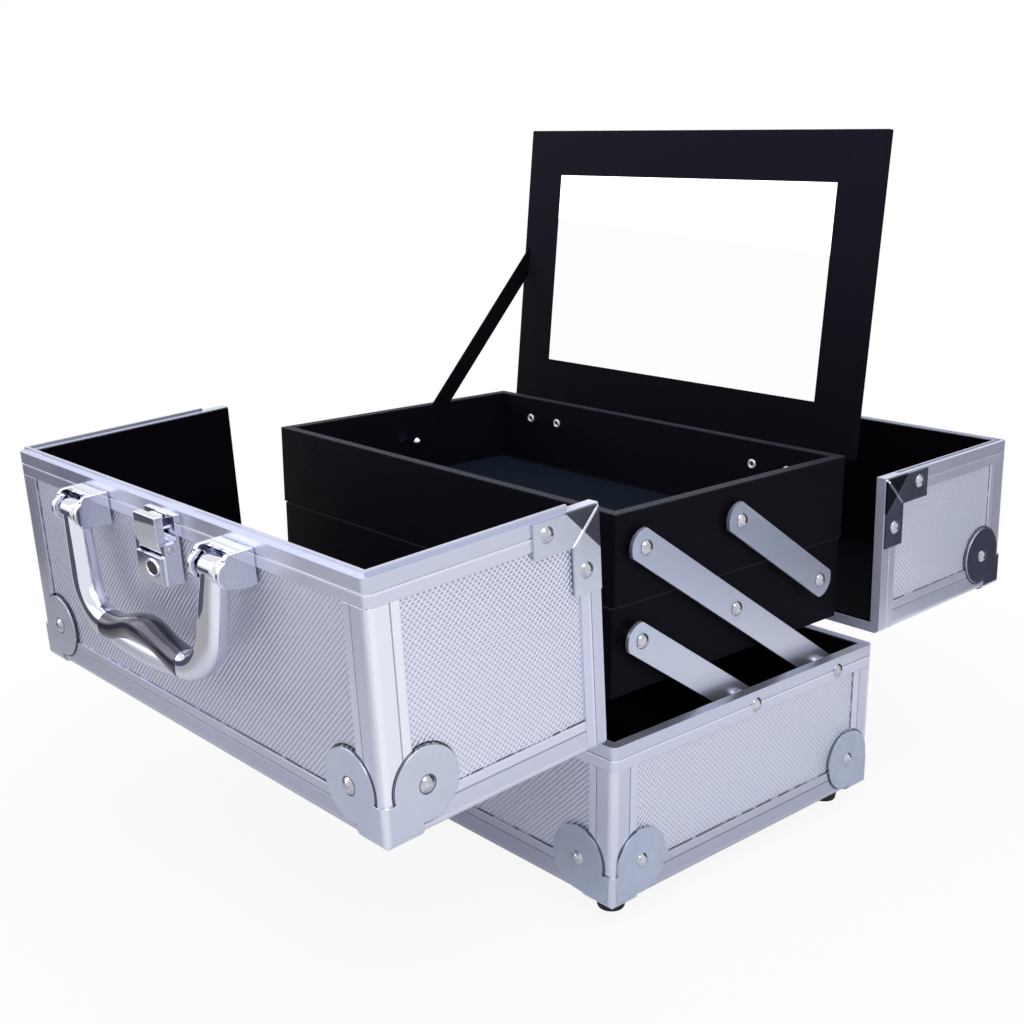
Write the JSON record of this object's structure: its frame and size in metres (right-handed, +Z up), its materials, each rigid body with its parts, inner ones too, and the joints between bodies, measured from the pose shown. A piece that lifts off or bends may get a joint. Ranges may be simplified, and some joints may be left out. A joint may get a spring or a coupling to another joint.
{
  "type": "vanity box with mirror",
  "caption": "Silver vanity box, opened out: two hinged upper shells, two black lift-out trays on swing arms and a mirror lid over the upper tray.",
  "frame": {"origin": "on the ground plane of the feet, under the middle of the open box from front to rear and from side to side", "axes": "+X along the case, +Y to the rear where the mirror and the rear shell are, so that the handle's shell opens towards -Y, +Z up"},
  "size_m": [0.2346, 0.368, 0.2738],
  "materials": {
    "silver_extrusion": "satin anodised, pale silver",
    "patterned_panel": "matt blue-silver skin with a fine raised diamond pattern",
    "bottom_board": "matt black board",
    "black_lining": "matt black lining",
    "chrome": "polished",
    "hinge_steel": "bright plated",
    "arm_steel": "satin blue-grey",
    "tray_black": "matt black, slightly violet",
    "tray_pad": "blue-black felt",
    "mirror": "clear mirror",
    "strap_black": "black woven strap",
    "grip_dark": "dark grey, glossy",
    "foot_rubber": "matt black"
  },
  "bodies": {
    "base": {"base_floor": "bottom_board", "base_front_panel": "patterned_panel", "base_rear_panel": "patterned_panel", "base_end_panels": "patterned_panel", "base_lining": "black_lining", "base_rim_frame": "silver_extrusion", "base_corner_posts": "silver_extrusion", "base_bottom_frame": "silver_extrusion", "base_corner_guards": "chrome", "base_guard_rivets": "chrome", "base_feet": "foot_rubber", "base_hinge_leaves": "hinge_steel", "arm_base_rivets": "chrome"},
    "front_shell": {"front_handle_panel": "patterned_panel", "front_outer_panel": "patterned_panel", "front_end_panels": "patterned_panel", "front_lining": "black_lining", "front_split_rim": "silver_extrusion", "front_hinge_rim": "silver_extrusion", "front_edge_frame": "silver_extrusion", "front_corner_guards": "chrome", "front_corner_plates": "chrome", "front_rivets": "chrome", "front_hinge_leaves": "hinge_steel", "front_hinge_pins": "hinge_steel", "handle_brackets": "chrome", "lock_body": "chrome"},
    "latch": {"lock_latch": "chrome"},
    "handle": {"handle_bail": "chrome", "handle_grip": "grip_dark"},
    "rear_shell": {"rear_top_panel": "patterned_panel", "rear_outer_panel": "patterned_panel", "rear_end_panels": "patterned_panel", "rear_lining": "black_lining", "rear_split_rim": "silver_extrusion", "rear_hinge_rim": "silver_extrusion", "rear_edge_frame": "silver_extrusion", "rear_corner_guards": "chrome", "rear_corner_plates": "chrome", "rear_rivets": "chrome", "rear_hinge_leaves": "hinge_steel", "rear_hinge_pins": "hinge_steel", "lock_strike": "chrome"},
    "long_arms": {"long_arms": "arm_steel"},
    "lower_arms": {"lower_arms": "arm_steel"},
    "upper_arms": {"upper_arms": "arm_steel"},
    "lower_tray": {"lower_tray_walls": "tray_black", "lower_tray_floor": "tray_black", "lower_tray_rivets": "chrome"},
    "upper_tray": {"upper_tray_walls": "tray_black", "upper_tray_floor": "tray_black", "upper_tray_pad": "tray_pad", "upper_tray_rivets": "chrome", "tray_hinge_leaves": "hinge_steel", "lid_strap": "strap_black"},
    "lid": {"lid_board": "tray_black", "lid_frame": "tray_black", "mirror_glass": "mirror", "lid_hinge_leaves": "hinge_steel", "lid_hinge_pins": "hinge_steel"}
  },
  "joints": [
    {"name": "front_shell_hinge", "type": "hinge", "parent": "base", "child": "front_shell", "pos_m": [0, -0.07083, 0.0695], "axis": [-1, 0, 0], "range_deg": [0, 93.7]},
    {"name": "rear_shell_hinge", "type": "hinge", "parent": "base", "child": "rear_shell", "pos_m": [0, 0.08817, 0.0695], "axis": [1, 0, 0], "range_deg": [0, 88.6]},
    {"name": "lift", "type": "hinge", "parent": "base", "child": "long_arms", "pos_m": [0, 0.06134, 0.0638], "axis": [1, 0, 0], "range_deg": [-83, 0]},
    {"name": "lower_arm_pivot", "type": "hinge", "parent": "base", "child": "lower_arms", "pos_m": [0, 0.00974, 0.0638], "axis": [1, 0, 0], "range_deg": [-83, 0]},
    {"name": "lower_tray_pivot", "type": "hinge", "parent": "long_arms", "child": "lower_tray", "pos_m": [0, 0.00678, 0.1006], "axis": [1, 0, 0], "range_deg": [0, 83]},
    {"name": "upper_tray_pivot", "type": "hinge", "parent": "long_arms", "child": "upper_tray", "pos_m": [0, -0.04363, 0.1346], "axis": [1, 0, 0], "range_deg": [0, 83]},
    {"name": "upper_arm_pivot", "type": "hinge", "parent": "lower_tray", "child": "upper_arms", "pos_m": [0, 0.05838, 0.1006], "axis": [1, 0, 0], "range_deg": [-83, 0]},
    {"name": "mirror_lid_hinge", "type": "hinge", "parent": "upper_tray", "child": "lid", "pos_m": [0, 0.07817, 0.1431], "axis": [1, 0, 0], "range_deg": [0, 95.4], "deforming": ["lid_strap"]},
    {"name": "handle_swing", "type": "hinge", "parent": "front_shell", "child": "handle", "pos_m": [0, -0.17877, 0.14259], "axis": [-1, 0, 0], "range_deg": [-3, 95]},
    {"name": "latch_hinge", "type": "hinge", "parent": "front_shell", "child": "latch", "pos_m": [0, -0.17332, 0.13893], "axis": [1, 0, 0], "range_deg": [0, 70]}
  ],
  "couplings": [
    {"joint": "lower_arm_pivot", "follows": "lift", "ratio": 1},
    {"joint": "lower_tray_pivot", "follows": "lift", "ratio": -1},
    {"joint": "upper_tray_pivot", "follows": "lift", "ratio": -1},
    {"joint": "upper_arm_pivot", "follows": "lift", "ratio": 1},
    {"joint": "mirror_lid_hinge", "follows": "rear_shell_hinge", "ratio": 1.0767}
  ]
}
